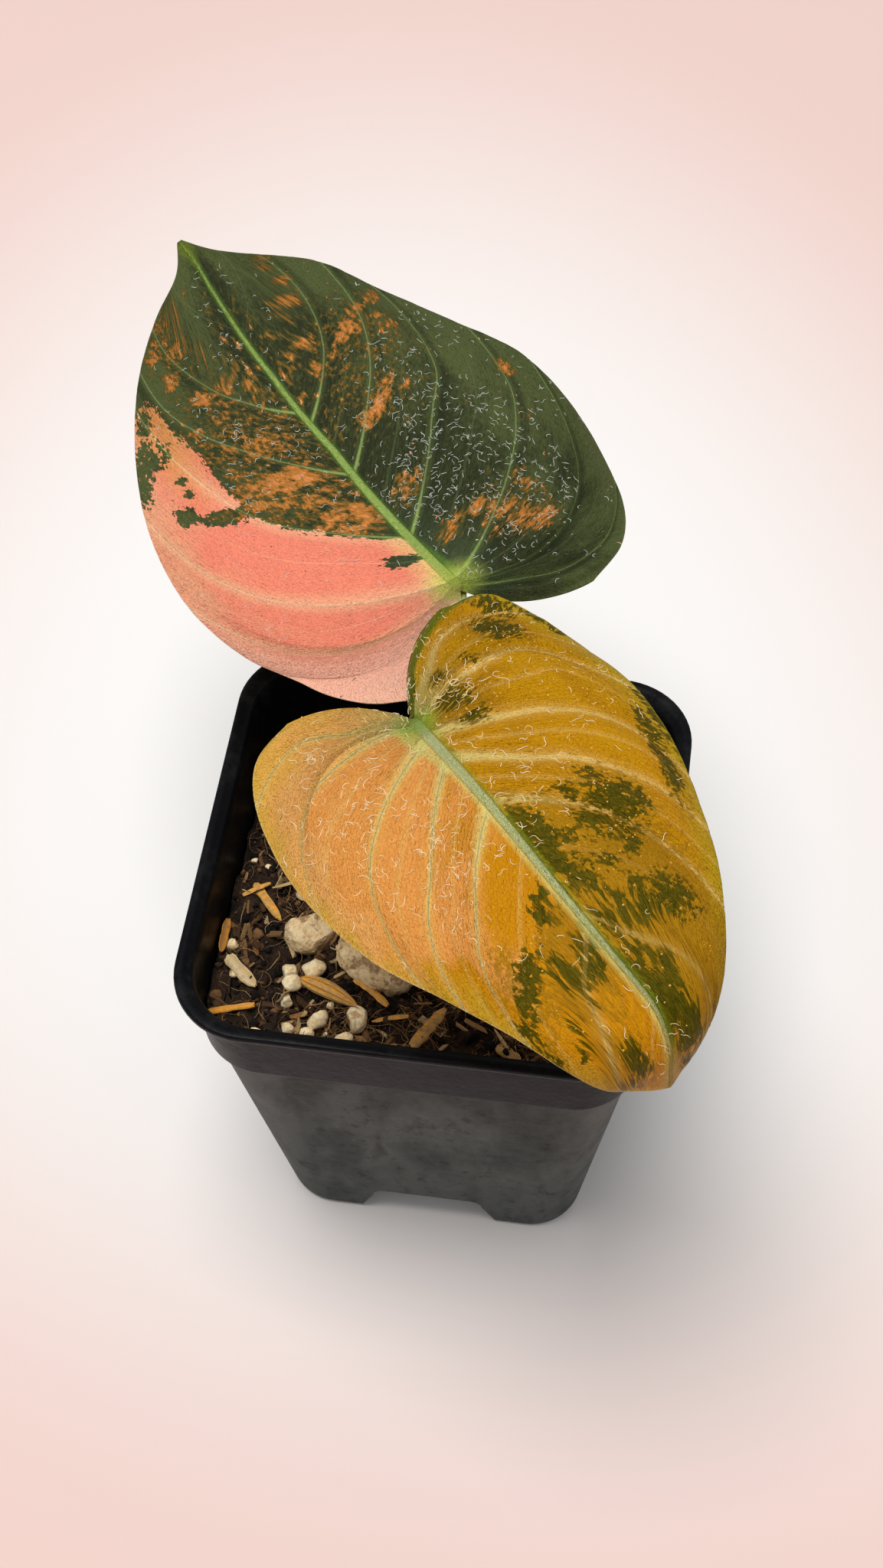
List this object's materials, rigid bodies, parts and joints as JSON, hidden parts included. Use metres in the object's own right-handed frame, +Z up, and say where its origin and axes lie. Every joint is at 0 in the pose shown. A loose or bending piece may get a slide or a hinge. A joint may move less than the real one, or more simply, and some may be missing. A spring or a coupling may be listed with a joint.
{
  "type": "potted house plant",
  "caption": "Young climbing aroid with variegated heart-shaped leaves on slim petioles, rooted in a loose mix in a square nursery pot with feet.",
  "frame": {"origin": "middle of the whole plant and pot, seen from above, on the surface that the pot stands on", "axes": "+Z up, -Y towards the viewer of the pot's front face, +X to its right; the pot's sides lie along X and Y"},
  "size_m": [0.1216, 0.1736, 0.1507],
  "materials": {
    "pot_plastic": "satin black, dusty and scuffed",
    "potting_mix": "loose peat, coco fibre, husk and perlite",
    "pumice": "rough, pitted, stained with peat",
    "stalk": "smooth, slightly waxy plant tissue",
    "leaf_upper": "velvety variegated leaf",
    "leaf_lower": "velvety variegated leaf"
  },
  "bodies": {
    "root": {"pot": "pot_plastic", "soil": "potting_mix", "pumice_small": "pumice", "pumice_large": "pumice", "stem": "stalk", "petiole_upper": "stalk", "petiole_lower": "stalk", "leaf_upper": "leaf_upper", "leaf_lower": "leaf_lower"}
  },
  "joints": []
}
